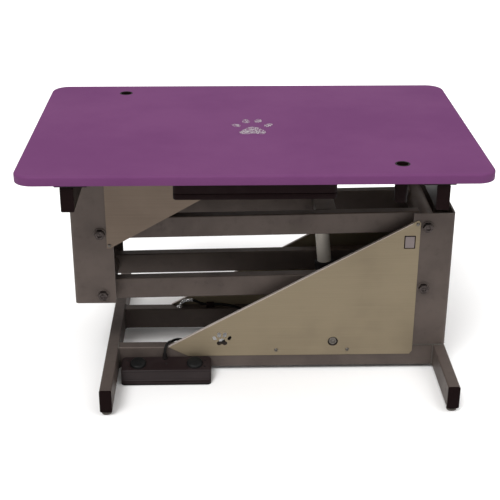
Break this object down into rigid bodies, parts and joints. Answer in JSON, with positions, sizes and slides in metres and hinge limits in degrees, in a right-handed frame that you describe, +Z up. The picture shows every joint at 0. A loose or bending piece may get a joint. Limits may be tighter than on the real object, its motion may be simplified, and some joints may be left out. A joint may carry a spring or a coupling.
{
  "type": "grooming table",
  "caption": "Electric grooming table with a purple top on a parallelogram lift of twin arms between two channel posts, a foot control and two sockets for a grooming arm.",
  "frame": {"origin": "on the floor under the middle of the table top", "axes": "+X along the length towards the fixed post, -Y towards the operator and the foot control, +Z up"},
  "size_m": [0.9144, 0.6096, 0.537],
  "materials": {
    "stainless_sheet": "reflective stainless sheet",
    "silver_paint": "silver grey powder coat",
    "black_paint": "satin black powder coat",
    "zinc": "zinc plated",
    "chrome": "ground and plated rod",
    "bronze": "sintered bronze",
    "black_plastic": "fine grained black",
    "cap_plastic": "smooth black cap",
    "rubber": "matt black rubber",
    "board": "raw board with a dark backing",
    "purple_skin": "purple textured sheet",
    "tube_paint": "light grey coat",
    "coil_case": "black housing"
  },
  "bodies": {
    "base": {"foot_left": "silver_paint", "foot_right": "silver_paint", "foot_caps": "cap_plastic", "beam_front": "silver_paint", "beam_rear": "silver_paint", "fixed_post": "silver_paint", "lower_guard_front": "stainless_sheet", "lower_guard_rear": "stainless_sheet", "base_screws": "zinc", "base_pivot_bolts": "zinc", "actuator_brackets": "silver_paint", "actuator_bolt": "zinc", "actuator_spacers": "silver_paint", "cable_clips": "black_plastic", "harness_cable": "rubber", "pedal_base": "rubber", "pedal_cover": "black_plastic", "pedal_switches": "black_plastic", "pedal_gland": "rubber", "pedal_cord": "rubber", "cord_coil": "rubber"},
    "leveler_front_left": {"leveler_front_left": "zinc"},
    "leveler_front_right": {"leveler_front_right": "zinc"},
    "leveler_rear_left": {"leveler_rear_left": "zinc"},
    "leveler_rear_right": {"leveler_rear_right": "zinc"},
    "button_up": {"button_up": "black_plastic"},
    "button_down": {"button_down": "black_plastic"},
    "upper_arms": {"upper_arm_front": "silver_paint", "upper_arm_rear": "silver_paint", "upper_tube_fixed": "silver_paint", "upper_tube_lift": "silver_paint", "upper_bushes": "bronze", "lift_yoke": "silver_paint", "lift_pin": "zinc"},
    "lower_arms": {"lower_arm_front": "silver_paint", "lower_arm_rear": "silver_paint", "lower_tube_fixed": "silver_paint", "lower_tube_lift": "silver_paint", "lower_bushes": "bronze"},
    "piston": {"piston_rod": "chrome"},
    "actuator": {"actuator_tube": "tube_paint", "gear_housing": "coil_case", "actuator_motor": "coil_case"},
    "carriage": {"carriage_post": "silver_paint", "cross_tube_left": "black_paint", "cross_tube_right": "black_paint", "cross_caps": "cap_plastic", "mounting_plates": "black_paint", "top_rail_front": "silver_paint", "top_rail_rear": "silver_paint", "upper_guard_front": "stainless_sheet", "upper_guard_rear": "stainless_sheet", "carriage_screws": "zinc", "carriage_pivot_bolts": "zinc", "table_board": "board", "table_skin": "purple_skin", "arm_sockets": "black_paint", "control_box": "black_plastic", "control_box_lid": "black_plastic"}
  },
  "joints": [
    {"name": "lift", "type": "hinge", "parent": "base", "child": "upper_arms", "pos_m": [0.37, 0, 0.344], "axis": [0, 1, 0], "range_deg": [0, 36]},
    {"name": "lower_arm_swing", "type": "hinge", "parent": "base", "child": "lower_arms", "pos_m": [0.37, 0, 0.201], "axis": [0, 1, 0], "range_deg": [0, 36.5]},
    {"name": "carriage_level", "type": "hinge", "parent": "upper_arms", "child": "carriage", "pos_m": [-0.32152, 0, 0.3335], "axis": [0, 1, 0], "range_deg": [-36.5, 0]},
    {"name": "piston_swing", "type": "hinge", "parent": "upper_arms", "child": "piston", "pos_m": [0.154, 0, 0.321], "axis": [0, 1, 0], "range_deg": [-31.5, 0]},
    {"name": "actuator_stroke", "type": "slide", "parent": "piston", "child": "actuator", "axis": [0.0956, 0, -0.9954], "range_m": [0, 0.134]},
    {"name": "button_up_press", "type": "slide", "parent": "base", "child": "button_up", "axis": [0, 0.2419, -0.9703], "range_m": [0, 0.004], "stiffness_N_per_m": 600, "springref_m": -0.002},
    {"name": "button_down_press", "type": "slide", "parent": "base", "child": "button_down", "axis": [0, 0.2419, -0.9703], "range_m": [0, 0.004], "stiffness_N_per_m": 600, "springref_m": -0.002},
    {"name": "leveler_front_left_turn", "type": "hinge", "parent": "base", "child": "leveler_front_left", "pos_m": [-0.3078, -0.271, 0.005], "axis": [0, 0, 1], "continuous": true},
    {"name": "leveler_front_right_turn", "type": "hinge", "parent": "base", "child": "leveler_front_right", "pos_m": [0.4143, -0.271, 0.005], "axis": [0, 0, 1], "continuous": true},
    {"name": "leveler_rear_left_turn", "type": "hinge", "parent": "base", "child": "leveler_rear_left", "pos_m": [-0.3078, 0.271, 0.005], "axis": [0, 0, 1], "continuous": true},
    {"name": "leveler_rear_right_turn", "type": "hinge", "parent": "base", "child": "leveler_rear_right", "pos_m": [0.4143, 0.271, 0.005], "axis": [0, 0, 1], "continuous": true}
  ],
  "couplings": [
    {"joint": "lower_arm_swing", "follows": "lift", "ratio": 1},
    {"joint": "carriage_level", "follows": "lift", "ratio": -1},
    {"joint": "piston_swing", "follows": "lift", "ratio": -0.85272},
    {"joint": "actuator_stroke", "follows": "lift", "m_per_rad": 0.2099}
  ]
}
